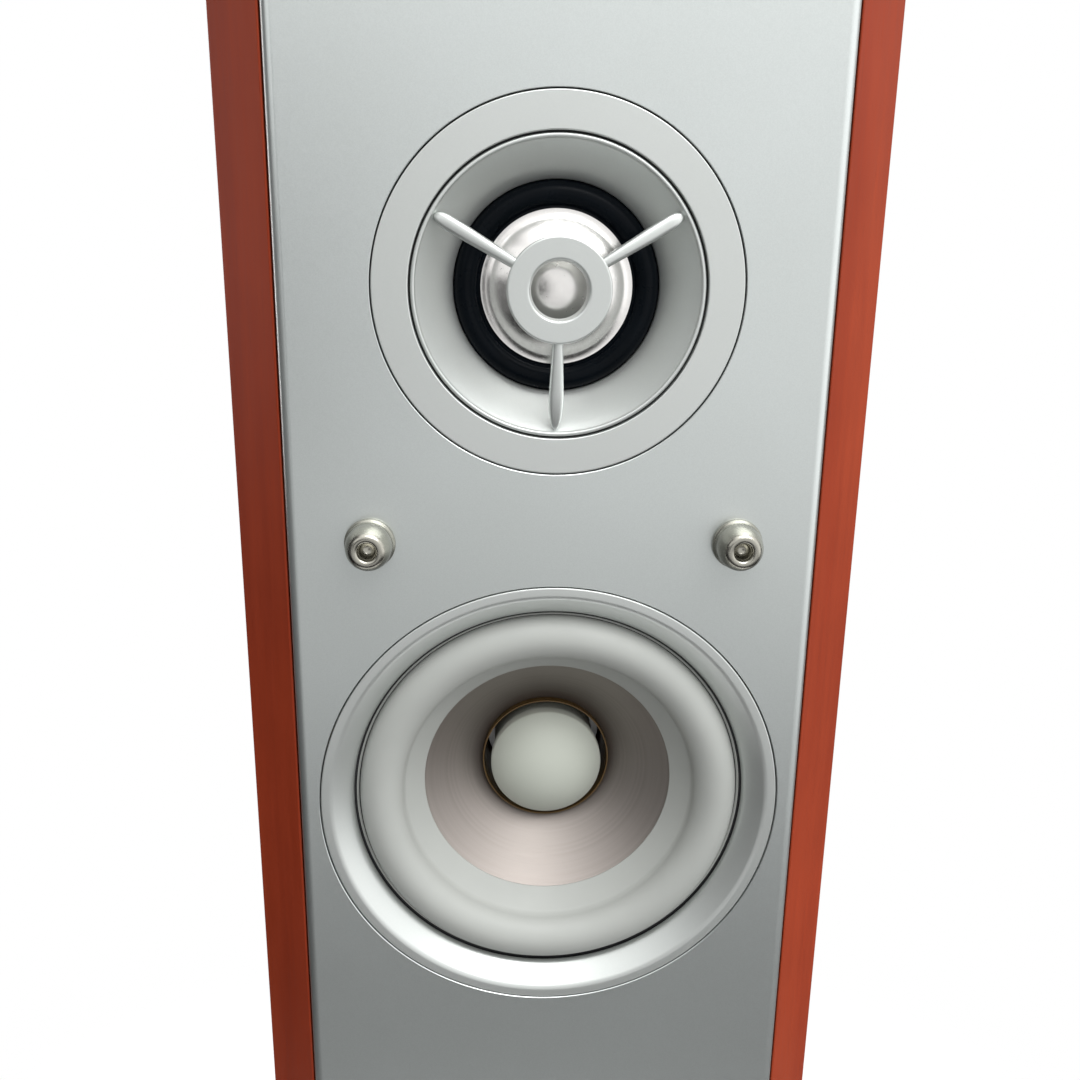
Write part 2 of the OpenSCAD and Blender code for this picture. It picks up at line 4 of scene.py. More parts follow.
import bmesh
import bpy
from mathutils import Matrix, Vector
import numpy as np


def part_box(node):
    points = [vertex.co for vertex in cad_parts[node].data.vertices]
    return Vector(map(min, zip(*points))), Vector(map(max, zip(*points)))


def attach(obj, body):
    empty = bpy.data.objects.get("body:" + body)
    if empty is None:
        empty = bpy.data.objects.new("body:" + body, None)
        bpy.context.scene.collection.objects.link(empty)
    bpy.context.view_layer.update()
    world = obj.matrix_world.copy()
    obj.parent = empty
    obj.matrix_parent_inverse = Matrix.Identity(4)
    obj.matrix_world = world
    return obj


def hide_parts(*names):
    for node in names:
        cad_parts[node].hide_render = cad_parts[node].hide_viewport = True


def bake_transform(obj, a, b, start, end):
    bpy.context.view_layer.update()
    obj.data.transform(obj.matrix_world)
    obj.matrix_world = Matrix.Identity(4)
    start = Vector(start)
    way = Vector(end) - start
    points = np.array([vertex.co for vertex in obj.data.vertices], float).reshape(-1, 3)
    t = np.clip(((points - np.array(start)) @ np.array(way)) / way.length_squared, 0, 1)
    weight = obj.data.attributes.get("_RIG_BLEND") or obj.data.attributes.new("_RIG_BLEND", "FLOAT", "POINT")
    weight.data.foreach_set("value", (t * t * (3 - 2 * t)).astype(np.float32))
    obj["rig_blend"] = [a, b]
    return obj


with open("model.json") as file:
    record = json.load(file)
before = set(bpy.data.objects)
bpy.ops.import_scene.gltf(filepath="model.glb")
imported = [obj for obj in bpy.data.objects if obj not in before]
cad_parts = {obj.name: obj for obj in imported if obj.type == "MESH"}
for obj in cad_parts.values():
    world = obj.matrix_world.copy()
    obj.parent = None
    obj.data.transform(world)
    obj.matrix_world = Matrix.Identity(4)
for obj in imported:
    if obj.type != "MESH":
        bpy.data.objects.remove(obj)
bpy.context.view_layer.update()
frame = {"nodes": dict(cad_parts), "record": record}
NODES = frame["nodes"]
BODY_OF = {n: b for b, ns in frame["record"]["behaviour"]["bodies"].items() for n in ns}
SLOT_OF = {s["node"]: s["material_slot"] for s in frame["record"]["subparts"]}

MM = 0.001
X = Vector((1, 0, 0))
Y = Vector((0, 1, 0))
Z = Vector((0, 0, 1))


def middle(node):
    low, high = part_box(node)
    return (low + high) / 2


FRONT_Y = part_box("front_fascia")[0].y
REAR_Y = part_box("back_panel")[1].y
TWEETER = Vector((0, FRONT_Y, middle("tweeter_trim_ring").z))
WOOFER = Vector((0, FRONT_Y, middle("woofer_trim_ring").z))
PORT = Vector((0, REAR_Y, middle("port_flare").z))
CUP = Vector((0, REAR_Y, middle("terminal_cup").z))
FACEPLATE_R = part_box("tweeter_trim_ring")[1].x / MM
TRIM_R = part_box("woofer_trim_ring")[1].x / MM
POST_R = 7.2

# Lathe axes: across, down or up, and along the turned piece's axis
INTO_FRONT = (X, -Z, Y)
INTO_REAR = (X, Z, -Y)
UPWARDS = (X, Y, Z)


# ------------------------------------------------------------------ camera

def aim(obj, target):
    obj.rotation_euler = (Vector(target) - obj.location).to_track_quat("-Z", "Y").to_euler()


def make_camera():
    """A camera close in front of the tweeter, which looks down at the woofer."""
    from_tweeter = Vector((-17.86, -300.07, 17.6)) * MM
    turn = (73.89, -0.76, -2.39)
    data = bpy.data.cameras.new("camera")
    data.sensor_width = 36
    data.lens = 36.83
    data.clip_start = 0.01
    cam = bpy.data.objects.new("camera", data)
    bpy.context.scene.collection.objects.link(cam)
    cam.location = TWEETER + from_tweeter
    cam.rotation_euler = [math.radians(a) for a in turn]
    bpy.context.scene.camera = cam


make_camera()


# ------------------------------------------------------------------ materials

class Shader:
    """A material's node tree, with short calls for the nodes that the materials share."""

    def __init__(self, name):
        self.material = bpy.data.materials.new(name)
        self.material.use_nodes = True
        self.tree = self.material.node_tree
        self.bsdf = self.tree.nodes["Principled BSDF"]
        self.coord = self.node("ShaderNodeTexCoord").outputs["Object"]

    def node(self, kind, **values):
        made = self.tree.nodes.new(kind)
        for key, value in values.items():
            setattr(made, key, value)
        return made

    def link(self, a, b):
        self.tree.links.new(a, b)

    def stretched(self, scale):
        mapping = self.node("ShaderNodeMapping")
        mapping.inputs["Scale"].default_value = scale
        self.link(self.coord, mapping.inputs["Vector"])
        return mapping.outputs["Vector"]

    def noise(self, scale, detail=4, vector=None, rough=0.55, distortion=0):
        n = self.node("ShaderNodeTexNoise")
        n.inputs["Scale"].default_value = scale
        n.inputs["Detail"].default_value = detail
        n.inputs["Roughness"].default_value = rough
        n.inputs["Distortion"].default_value = distortion
        self.link(vector if vector is not None else self.coord, n.inputs["Vector"])
        return n.outputs["Fac"]

    def ramp(self, fac, stops):
        r = self.node("ShaderNodeValToRGB")
        while len(r.color_ramp.elements) < len(stops):
            r.color_ramp.elements.new(0.5)
        for element, (at, colour) in zip(r.color_ramp.elements, stops):
            element.position = at
            element.color = (*colour, 1)
        self.link(fac, r.inputs["Fac"])
        return r.outputs["Color"]

    def spread(self, fac, low, high, from_low=0.3, from_high=0.7):
        m = self.node("ShaderNodeMapRange")
        m.inputs["From Min"].default_value = from_low
        m.inputs["From Max"].default_value = from_high
        m.inputs["To Min"].default_value = low
        m.inputs["To Max"].default_value = high
        self.link(fac, m.inputs["Value"])
        return m.outputs["Result"]

    def mix(self, fac, a, b, blend="MIX"):
        m = self.node("ShaderNodeMix", data_type="RGBA", blend_type=blend)
        for socket, value in ((m.inputs["Factor"], fac), (m.inputs["A"], a), (m.inputs["B"], b)):
            if isinstance(value, (int, float)):
                socket.default_value = value
            elif isinstance(value, tuple):
                socket.default_value = (*value, 1)
            else:
                self.link(value, socket)
        return m.outputs["Result"]

    def maths(self, operation, a, b=None):
        m = self.node("ShaderNodeMath", operation=operation)
        for socket, value in zip(m.inputs, (a, b)):
            if value is None:
                continue
            if isinstance(value, (int, float)):
                socket.default_value = value
            else:
                self.link(value, socket)
        return m.outputs["Value"]

    def bump(self, layers):
        """layers: (height socket, strength, distance in metres), laid over one another."""
        below = None
        for height, strength, distance in layers:
            b = self.node("ShaderNodeBump")
            b.inputs["Strength"].default_value = strength
            b.inputs["Distance"].default_value = distance
            self.link(height, b.inputs["Height"])
            if below is not None:
                self.link(below, b.inputs["Normal"])
            below = b.outputs["Normal"]
        self.link(below, self.bsdf.inputs["Normal"])

    def set(self, **values):
        names = {"metallic": "Metallic", "coat": "Coat Weight", "coat_rough": "Coat Roughness",
                 "specular": "Specular IOR Level", "anisotropic": "Anisotropic",
                 "sheen": "Sheen Weight", "sheen_rough": "Sheen Roughness"}
        for key, value in values.items():
            self.bsdf.inputs[names[key]].default_value = value

    def colour(self, source):
        self.link(source, self.bsdf.inputs["Base Color"])

    def rough(self, source):
        self.link(source, self.bsdf.inputs["Roughness"])


def shade(colour, factor):
    return tuple(min(1.0, c * factor) for c in colour)


def plain_surface(name, colour, rough, metallic=0.0, mottle=0.06, mottle_scale=60, grain=0.25,
                  grain_scale=2600, grain_depth=0.00004, wear=None, **extra):
    """A moulded, painted or turned surface: mottled colour, fine grain and uneven gloss.
    wear is the colour of rubbed edges, if it has them."""
    uneven = 0.05
    s = Shader(name)
    cloud = s.noise(mottle_scale, 5)
    tone = s.ramp(cloud, [(0.3, shade(colour, 1 - mottle)), (0.7, shade(colour, 1 + mottle))])
    if wear is not None:
        edge = s.node("ShaderNodeBevel", samples=4)
        edge.inputs["Radius"].default_value = 0.0006
        geometry = s.node("ShaderNodeNewGeometry")
        dot = s.node("ShaderNodeVectorMath", operation="DOT_PRODUCT")
        s.link(edge.outputs["Normal"], dot.inputs[0])
        s.link(geometry.outputs["Normal"], dot.inputs[1])
        tone = s.mix(s.spread(dot.outputs["Value"], 0.35, 0, 0.8, 0.99), tone, wear)
    s.colour(tone)
    s.rough(s.spread(s.noise(mottle_scale * 6, 6), rough - uneven, rough + uneven))
    s.bump([(s.noise(grain_scale, 3), grain, grain_depth)])
    s.set(metallic=metallic, **extra)
    return s.material


def metallic_paint(name, colour, rough, metallic, flake=0.03):
    """Satin metallic paint: tiny flakes that differ in tone and gloss over a faint orange peel."""
    s = Shader(name)
    flakes = s.node("ShaderNodeTexVoronoi")
    flakes.inputs["Scale"].default_value = 3800
    s.link(s.coord, flakes.inputs["Vector"])
    spark = s.node("ShaderNodeRGBToBW")
    s.link(flakes.outputs["Color"], spark.inputs["Color"])
    base = s.ramp(spark.outputs["Val"], [(0.1, shade(colour, 1 - flake)), (0.9, shade(colour, 1 + flake))])
    cloud = s.ramp(s.noise(11, 3), [(0.35, (0.97, 0.97, 0.965)), (0.65, (1, 1, 1))])
    s.colour(s.mix(1.0, base, cloud, "MULTIPLY"))
    s.rough(s.spread(spark.outputs["Val"], rough - 0.04, rough + 0.04, 0.1, 0.9))
    s.bump([(s.noise(520, 2), 0.03, 0.00004)])
    s.set(metallic=metallic, specular=0.4)
    return s.material


def wood_veneer(name, dark, mid, light, rough=0.50, coat=0.10, pores=0.25):
    """Lacquered veneer: stretched growth bands along Z, fine dark pores and soft mottling."""
    s = Shader(name)
    bands = s.noise(7, 4, s.stretched((5, 3, 0.5)), 0.55, 0.6)
    streaks = s.noise(60, 6, s.stretched((9, 9, 0.35)), 0.7, 0.2)
    tone = s.ramp(bands, [(0.28, dark), (0.5, mid), (0.74, light)])
    fine = s.ramp(streaks, [(0.3, (0.88, 0.86, 0.85)), (0.62, (1.04, 1.04, 1.03))])
    grained = s.mix(0.7, tone, fine, "MULTIPLY")
    pore = s.noise(240, 3, s.stretched((10, 10, 0.5)), 0.5)
    pore_mask = s.spread(pore, 1, 0, 0.28, 0.36)
    specks = s.mix(s.maths("MULTIPLY", pore_mask, pores), grained, shade(dark, 0.45))
    mottled = s.ramp(s.noise(22, 3), [(0.35, (0.93, 0.92, 0.91)), (0.65, (1.03, 1.03, 1.03))])
    s.colour(s.mix(1.0, specks, mottled, "MULTIPLY"))
    s.rough(s.spread(streaks, rough - 0.06, rough + 0.08))
    s.bump([(streaks, 0.06, 0.00008), (pore_mask, 0.10, -0.00005)])
    s.set(coat=coat, coat_rough=0.30, specular=0.12)
    return s.material


def fabric_surface(name, colour, scale, depth):
    """Cloth or felt: two crossed sets of threads at that scale and depth."""
    s = Shader(name)
    weave = s.node("ShaderNodeTexWave", wave_type="BANDS", bands_direction="X")
    weave.inputs["Scale"].default_value = scale
    weave.inputs["Distortion"].default_value = 1.5
    s.link(s.coord, weave.inputs["Vector"])
    cross = s.node("ShaderNodeTexWave", wave_type="BANDS", bands_direction="Z")
    cross.inputs["Scale"].default_value = scale
    cross.inputs["Distortion"].default_value = 1.5
    s.link(s.coord, cross.inputs["Vector"])
    threads = s.maths("MULTIPLY", weave.outputs["Fac"], cross.outputs["Fac"])
    s.colour(s.ramp(threads, [(0.0, shade(colour, 0.6)), (0.6, colour)]))
    s.rough(s.spread(threads, 0.85, 0.95, 0, 1))
    s.bump([(threads, 0.6, depth)])
    s.set(sheen=0.3, sheen_rough=0.6)
    return s.material


def spun_metal(name, colour, rough, pitch, metallic=1.0):
    """Metal turned about the piece's own Y axis: fine rings at that pitch, drawn-out highlights."""
    rings = 0.10
    s = Shader(name)
    split = s.node("ShaderNodeSeparateXYZ")
    s.link(s.coord, split.inputs["Vector"])
    x2 = s.maths("MULTIPLY", split.outputs["X"], split.outputs["X"])
    z2 = s.maths("MULTIPLY", split.outputs["Z"], split.outputs["Z"])
    radius = s.maths("SQRT", s.maths("ADD", x2, z2))
    along = s.node("ShaderNodeCombineXYZ")
    s.link(radius, along.inputs["X"])
    grooves = s.noise(1 / pitch, 3, along.outputs["Vector"], 0.7)
    s.colour(s.ramp(grooves, [(0.3, shade(colour, 1 - rings)), (0.7, shade(colour, 1 + rings))]))
    s.rough(s.spread(grooves, rough - 0.05, rough + 0.06))
    s.bump([(grooves, 0.12, 0.00003)])
    s.set(metallic=metallic, anisotropic=0.65)
    tangent = s.node("ShaderNodeTangent", direction_type="RADIAL", axis="Y")
    s.link(tangent.outputs["Tangent"], s.bsdf.inputs["Tangent"])
    return s.material


CHERRY_DARK = (0.225, 0.027, 0.009)
CHERRY_MID = (0.285, 0.037, 0.012)
CHERRY_LIGHT = (0.345, 0.052, 0.018)

MATERIALS = {
    "cherry_wood": wood_veneer("cherry_wood", CHERRY_DARK, CHERRY_MID, CHERRY_LIGHT),
    "silver_front": metallic_paint("silver_front", (0.61, 0.645, 0.635), 0.34, 0.88),
    "silver_trim": metallic_paint("silver_trim", (0.61, 0.635, 0.62), 0.38, 0.78, 0.015),
    "mdf": plain_surface("mdf", (0.42, 0.28, 0.16), 0.85, mottle=0.12, mottle_scale=300),
    "back_veneer": wood_veneer("back_veneer", (0.012, 0.011, 0.011), (0.02, 0.019, 0.018),
                               (0.034, 0.032, 0.03), 0.5, 0.1, 0.6),
    "plinth_lacquer": plain_surface("plinth_lacquer", (0.016, 0.016, 0.018), 0.32, mottle=0.15,
                                    wear=(0.06, 0.06, 0.065), coat=0.3, coat_rough=0.2),
    "wadding": fabric_surface("wadding", (0.78, 0.77, 0.72), 260, 0.002),
    "black_steel": plain_surface("black_steel", (0.03, 0.03, 0.032), 0.4, 0.8,
                                 wear=(0.25, 0.25, 0.26)),
    "brass_insert": spun_metal("brass_insert", (0.72, 0.52, 0.22), 0.3, 0.0004),
    "zinc_steel": plain_surface("zinc_steel", (0.58, 0.60, 0.62), 0.32, 1.0, mottle=0.1,
                                mottle_scale=240),
    "foot_steel": plain_surface("foot_steel", (0.50, 0.51, 0.53), 0.28, 1.0, mottle=0.05,
                                mottle_scale=160, wear=(0.75, 0.75, 0.76)),
    "post_chrome": plain_surface("post_chrome", (0.38, 0.37, 0.325), 0.24, 1.0, mottle=0.05,
                                 mottle_scale=300),
    "port_plastic": plain_surface("port_plastic", (0.022, 0.022, 0.024), 0.52, mottle=0.1, grain=0.6,
                                  grain_scale=1500, grain_depth=0.00008, wear=(0.06, 0.06, 0.06)),
    "gold_plate": plain_surface("gold_plate", (0.85, 0.60, 0.22), 0.18, 1.0, mottle=0.04),
    "cap_red": plain_surface("cap_red", (0.42, 0.012, 0.012), 0.2, mottle=0.1, coat=0.5,
                             coat_rough=0.1),
    "cap_black": plain_surface("cap_black", (0.018, 0.018, 0.02), 0.22, mottle=0.1, coat=0.5,
                               coat_rough=0.1),
    "circuit_board": plain_surface("circuit_board", (0.02, 0.12, 0.04), 0.35, mottle=0.2,
                                   mottle_scale=400),
    "copper_wire": spun_metal("copper_wire", (0.55, 0.22, 0.08), 0.3, 0.0008),
    "film_capacitor": plain_surface("film_capacitor", (0.03, 0.08, 0.28), 0.25),
    "cement_resistor": plain_surface("cement_resistor", (0.75, 0.73, 0.67), 0.8, mottle=0.1,
                                     mottle_scale=900),
    "wire_insulation": plain_surface("wire_insulation", (0.42, 0.02, 0.02), 0.35),
    "driver_frame": plain_surface("driver_frame", (0.02, 0.02, 0.022), 0.55, grain=0.5,
                                  grain_scale=1800),
    "tweeter_plastic": plain_surface("tweeter_plastic", (0.02, 0.02, 0.022), 0.5),
    "gasket_foam": plain_surface("gasket_foam", (0.015, 0.015, 0.015), 0.95, grain=0.8,
                                 grain_scale=2500, grain_depth=0.0002),
    "white_rubber": plain_surface("white_rubber", (0.375, 0.387, 0.368), 0.50, mottle=0.03,
                                  mottle_scale=45, grain=0.10, specular=0.3),
    "black_rubber": plain_surface("black_rubber", (0.0020, 0.0035, 0.0055), 0.30, mottle=0.2,
                                  mottle_scale=80, grain=0.10, specular=0.07),
    "cone_metal": spun_metal("cone_metal", (0.285, 0.257, 0.238), 0.44, 0.0011, metallic=0.8),
    "dome_metal": plain_surface("dome_metal", (0.80, 0.785, 0.765), 0.23, 1.0, mottle=0.03,
                                mottle_scale=120, grain=0.05),
    "former_film": plain_surface("former_film", (0.13, 0.075, 0.022), 0.32, 0.2, mottle=0.15,
                                 mottle_scale=90),
    "spider_cloth": fabric_surface("spider_cloth", (0.55, 0.42, 0.16), 900, 0.0004),
    "plug_white": plain_surface("plug_white", (0.49, 0.515, 0.455), 0.62, mottle=0.03,
                                mottle_scale=30, grain=0.2, sheen=0.1),
    "plated_steel": plain_surface("plated_steel", (0.55, 0.56, 0.56), 0.38, 1.0, mottle=0.1,
                                  mottle_scale=200),
    "ferrite": plain_surface("ferrite", (0.045, 0.045, 0.05), 0.6, 0.2, mottle=0.2,
                             mottle_scale=300),
    "phenolic": plain_surface("phenolic", (0.22, 0.10, 0.04), 0.6, mottle=0.15, mottle_scale=200),
}


# ------------------------------------------------------------------ mesh tools

def finish_mesh(bm, name, origin):
    """Closes the seams, turns the faces outwards and puts the mesh into the scene."""
    bmesh.ops.remove_doubles(bm, verts=bm.verts, dist=1e-7)
    bmesh.ops.recalc_face_normals(bm, faces=bm.faces)
    mesh = bpy.data.meshes.new(name)
    bm.to_mesh(mesh)
    bm.free()
    obj = bpy.data.objects.new(name, mesh)
    bpy.context.scene.collection.objects.link(obj)
    obj.location = origin
    return obj


def smooth(obj, angle=35):
    """Smooth shading that stays sharp at edges over the angle in degrees."""
    obj.data.shade_smooth()
    obj.data.set_sharp_from_angle(angle=math.radians(angle))
    obj.modifiers.new("weighted_normals", "WEIGHTED_NORMAL").keep_sharp = True


def dress(obj, node):
    """Gives a piece the material of its CAD node's slot, and returns the slot."""
    slot = SLOT_OF[node]
    obj.data.materials.clear()
    obj.data.materials.append(MATERIALS[slot])
    return slot


def place(obj, node):
    """Gives a piece its CAD node's material slot and body, and hides the node it stands for."""
    slot = dress(obj, node)
    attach(obj, BODY_OF[node])
    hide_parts(node)


def flex(obj, node, moving, centre, outer, inner):
    """Bends a surround between the cabinet and its driver's moving part.
    It stays still beyond the outer radius, and moves fully within the inner one."""
    slot = dress(obj, node)
    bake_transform(obj, "cabinet", moving, centre + X * outer * MM, centre + X * inner * MM)
    weights = obj.data.attributes["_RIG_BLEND"]
    for vertex, weight in zip(obj.data.vertices, weights.data):
        off = vertex.co - centre
        t = (outer - math.hypot(off.x, off.z) / MM) / (outer - inner)
        t = min(1.0, max(0.0, t))
        weight.value = t * t * (3 - 2 * t)
    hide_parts(node)


def arc(centre, radius, start, end, steps):
    """Points on an arc, in degrees, as (r, z) pairs."""
    points = []
    for i in range(steps + 1):
        a = math.radians(start + (end - start) * i / steps)
        points.append((centre[0] + radius * math.cos(a), centre[1] + radius * math.sin(a)))
    return points


def soften(profile, radius, steps=4, least_turn=18):
    """Rounds each corner of a closed profile that turns by more than least_turn degrees."""
    out = []
    n = len(profile)
    for i, p in enumerate(profile):
        p = Vector(p)
        before = Vector(profile[i - 1]) - p
        after = Vector(profile[(i + 1) % n]) - p
        on_axis = p.x < 1e-6
        if on_axis or math.degrees(math.pi - before.angle(after)) < least_turn:
            out.append(tuple(p))
            continue
        reach = min(radius, before.length * 0.45, after.length * 0.45)
        a = p + before.normalized() * reach
        b = p + after.normalized() * reach
        for k in range(steps + 1):
            t = k / steps
            out.append(tuple(a * (1 - t) ** 2 + p * 2 * t * (1 - t) + b * t * t))
    return out


def lathe(name, profile, origin, axes, segments, flutes=None):
    """A solid turned from a closed profile of (radius, height) points in millimetres.
    flutes: (count, depth, the radius from which they're cut)."""
    def turned_radius(r, a):
        if flutes is None or r < flutes[2]:
            return r
        return r - flutes[1] * max(0.0, math.cos(flutes[0] * a)) ** 1.5
    u, v, w = axes
    bm = bmesh.new()
    rows = []
    for r, z in profile:
        if r < 1e-6:
            rows.append([bm.verts.new(w * z * MM)])
            continue
        rows.append([
            bm.verts.new(((u * math.cos(a) + v * math.sin(a)) * turned_radius(r, a) + w * z) * MM)
            for a in (2 * math.pi * k / segments for k in range(segments))
        ])
    for i, row in enumerate(rows):
        other = rows[(i + 1) % len(rows)]
        if len(row) == 1 and len(other) == 1:
            continue
        for k in range(segments):
            m = (k + 1) % segments
            if len(row) == 1:
                bm.faces.new((row[0], other[k], other[m]))
            elif len(other) == 1:
                bm.faces.new((row[k], row[m], other[0]))
            else:
                bm.faces.new((row[k], row[m], other[m], other[k]))
    obj = finish_mesh(bm, name, origin)
    smooth(obj)
    return obj


def prism(name, outline, low, high, axis="Z"):
    """A solid pushed along Z or Y from an outline, all in metres."""
    def point(a, b, c):
        return Vector((a, b, c) if axis == "Z" else (a, c, b))
    bm = bmesh.new()
    ends = [[bm.verts.new(point(a, b, c)) for a, b in outline] for c in (low, high)]
    bm.faces.new(ends[0])
    bm.faces.new(ends[1])
    for i in range(len(outline)):
        j = (i + 1) % len(outline)
        bm.faces.new((ends[0][i], ends[0][j], ends[1][j], ends[1][i]))
    return finish_mesh(bm, name, (0, 0, 0))


def bevel(obj, width, segments=3, angle=30):
    mod = obj.modifiers.new("bevel", "BEVEL")
    mod.width = width
    mod.segments = segments
    mod.limit_method = "ANGLE"
    mod.angle_limit = math.radians(angle)


def apply_modifiers(obj):
    """Writes the result of an object's modifiers into its mesh."""
    depsgraph = bpy.context.evaluated_depsgraph_get()
    mesh = bpy.data.meshes.new_from_object(obj.evaluated_get(depsgraph))
    obj.modifiers.clear()
    old = obj.data
    obj.data = mesh
    mesh.name = obj.name
    bpy.data.meshes.remove(old)


def cut(obj, cutters, join=False):
    """Takes the cutters away from obj, or joins them to it, and deletes them."""
    for cutter in cutters:
        mod = obj.modifiers.new("cut", "BOOLEAN")
        mod.operation = "UNION" if join else "DIFFERENCE"
        mod.solver = "EXACT"
        mod.object = cutter
    bpy.context.view_layer.update()
    apply_modifiers(obj)
    for cutter in cutters:
        mesh = cutter.data
        bpy.data.objects.remove(cutter)
        bpy.data.meshes.remove(mesh)


def rounded_rectangle(w, d, r, steps=8):
    points = []
    for sx, sy, start in ((1, 1, 0), (-1, 1, 90), (-1, -1, 180), (1, -1, 270)):
        points += arc((sx * (w / 2 - r), sy * (d / 2 - r)), r, start, start + 90, steps)
    return points


# ------------------------------------------------------------------ cabinet

def make_sides():
    """The cherry sides, with their front edges bevelled back at about 45 degrees."""
    for side, node in ((-1, "side_panel_left"), (1, "side_panel_right")):
        low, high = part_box(node)
        inner = min(abs(low.x), abs(high.x)) * side
        outer = max(abs(low.x), abs(high.x)) * side
        bevel_d = abs(outer - inner)
        flat = 0.5 * MM
        outline = [
            (inner, low.y),
            (inner + side * flat, low.y),
            (outer, low.y + bevel_d),
            (outer, high.y),
            (inner, high.y),
        ]
        obj = prism("cherry_" + node, outline, low.z, high.z)
        bevel(obj, 0.9 * MM, 4, 20)
        smooth(obj, 30)
        place(obj, node)


def make_top():
    """The top board, turned in its own frame so that the veneer's grain runs from front to back."""
    low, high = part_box("top_panel")
    outline = [(low.x, low.y), (high.x, low.y), (high.x, high.y), (low.x, high.y)]
    obj = prism("cherry_top", outline, low.z, high.z)
    bevel(obj, 0.6 * MM, 3)
    smooth(obj, 30)
    turn = Matrix.Rotation(math.radians(-90), 4, "X")
    obj.data.transform(turn.inverted())
    obj.matrix_world = turn
    place(obj, "top_panel")


def chamfered_hole(radius, chamfer, depth, centre, segments=256):
    """A cutter for a round hole into the front, with a chamfered mouth."""
    profile = [
        (0, -2), (radius + chamfer + 2, -2), (radius + chamfer, 0), (radius, chamfer),
        (radius, depth), (0, depth),
    ]
    return lathe("cutter", profile, centre, INTO_FRONT, segments)


def post_centres():
    """The four grille posts' axes, read from the corners of the posts' box."""
    low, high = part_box("grille_posts")
    r = POST_R * MM
    return [Vector((x, FRONT_Y, z)) for x in (low.x + r, high.x - r) for z in (low.z + r, high.z - r)]


def make_fascia():
    """The silver front, with rolled long edges and the holes for the drivers and the posts."""
    low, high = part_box("front_fascia")
    half = high.x
    edge_r = 3.2 * MM
    left = arc((edge_r - half, low.y + edge_r), edge_r, 180, 270, 8)
    right = arc((half - edge_r, low.y + edge_r), edge_r, 270, 360, 8)
    outline = left + right + [(half, high.y), (-half, high.y)]
    obj = prism("silver_fascia", outline, low.z, high.z)
    bevel(obj, 1.2 * MM, 3, 40)
    apply_modifiers(obj)
    depth = (high.y - low.y) / MM + 2
    chamfer, post_hole_r = 0.2, 3.1
    cutters = [
        chamfered_hole(FACEPLATE_R + 0.4, chamfer, depth, TWEETER),
        chamfered_hole(TRIM_R + 0.35, chamfer, depth, WOOFER),
    ]
    cutters += [chamfered_hole(post_hole_r, chamfer, depth, c, segments=48) for c in post_centres()]
    cut(obj, cutters)
    smooth(obj, 30)
    place(obj, "front_fascia")


def make_back():
    """The black back board, with holes for the port and the terminal cup."""
    low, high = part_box("back_panel")
    outline = [(low.x, low.y), (high.x, low.y), (high.x, high.y), (low.x, high.y)]
    obj = prism("back_board", outline, low.z, high.z)
    bevel(obj, 0.6 * MM, 2)
    apply_modifiers(obj)
    hole_r = 40.3
    hole = lathe("cutter", [(0, -5), (hole_r, -5), (hole_r, 25), (0, 25)], PORT, INTO_REAR, 96)
    cup_low, cup_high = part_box("terminal_cup")
    inset = 6.2 * MM
    outline = [
        (cup_low.x + inset, cup_low.z + inset), (cup_high.x - inset, cup_low.z + inset),
        (cup_high.x - inset, cup_high.z - inset), (cup_low.x + inset, cup_high.z - inset),
    ]
    window = prism("cutter", outline, low.y - 0.01, high.y + 0.01, "Y")
    cut(obj, [hole, window])
    smooth(obj, 30)
    place(obj, "back_panel")


def make_plinth():
    """The plinth, with a recess underneath for each bolt's head."""
    low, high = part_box("plinth")
    corner_r, head, recess_r, recess = 20 * MM, 5.8 * MM, 6.2, 6
    outline = rounded_rectangle(high.x - low.x, high.y - low.y, corner_r, 12)
    obj = prism("plinth_board", outline, low.z, high.z)
    bevel(obj, 2.5 * MM, 5, 50)
    apply_modifiers(obj)
    bolt_low, bolt_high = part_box("plinth_bolts")
    cutters = [
        lathe("cutter", [(0, -2), (recess_r, -2), (recess_r, recess), (0, recess)],
              Vector((x, y, low.z)), UPWARDS, 48)
        for x in (bolt_low.x + head, bolt_high.x - head)
        for y in (bolt_low.y + head, bolt_high.y - head)
    ]
    cut(obj, cutters)
    smooth(obj, 30)
    place(obj, "plinth")


def make_feet():
    """Steel levelling feet on their studs."""
    names = {"foot_front_left": "foot_fl", "foot_front_right": "foot_fr",
             "foot_rear_left": "foot_rl", "foot_rear_right": "foot_rr"}
    for node, name in names.items():
        low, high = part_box(node)
        centre = Vector(((low.x + high.x) / 2, (low.y + high.y) / 2, 0))
        top = (high.z - low.z) / MM
        profile = [
            (0, 0), (8, 0), (9.5, 1.2), (12.2, 9.2), (11.8, 9.8), (12.5, 10.6), (15, 17.2),
            (15, 20.7), (13.8, 22), (7, 22), (7, 25.2), (3.95, 25.2), (3.95, top - 1),
            (3.1, top), (0, top),
        ]
        obj = lathe(name, soften(profile, 0.7), centre, UPWARDS, 96)
        place(obj, node)


# ------------------------------------------------------------------ tweeter

def make_tweeter_ring():
    inner, outer, thick = 40.15, FACEPLATE_R, 2.5
    profile = [(inner, 0), (outer, 0), (outer, thick), (inner, thick)]
    obj = lathe("tweeter_faceplate", soften(profile, 0.4), TWEETER, INTO_FRONT, 256)
    place(obj, "tweeter_trim_ring")


def make_horn():
    profile = [
        (38.3, 1.0), (38.55, 0.35), (39.25, 0.35), (39.6, 0.8), (39.6, 4.6), (37, 4.6),
        (33.6, 10.2), (33.6, 14.3), (29, 14.3), (28.6, 13.9), (28.6, 12.2),
    ]
    obj = lathe("tweeter_horn_ring", soften(profile, 0.35), TWEETER, INTO_FRONT, 256)
    place(obj, "tweeter_horn")


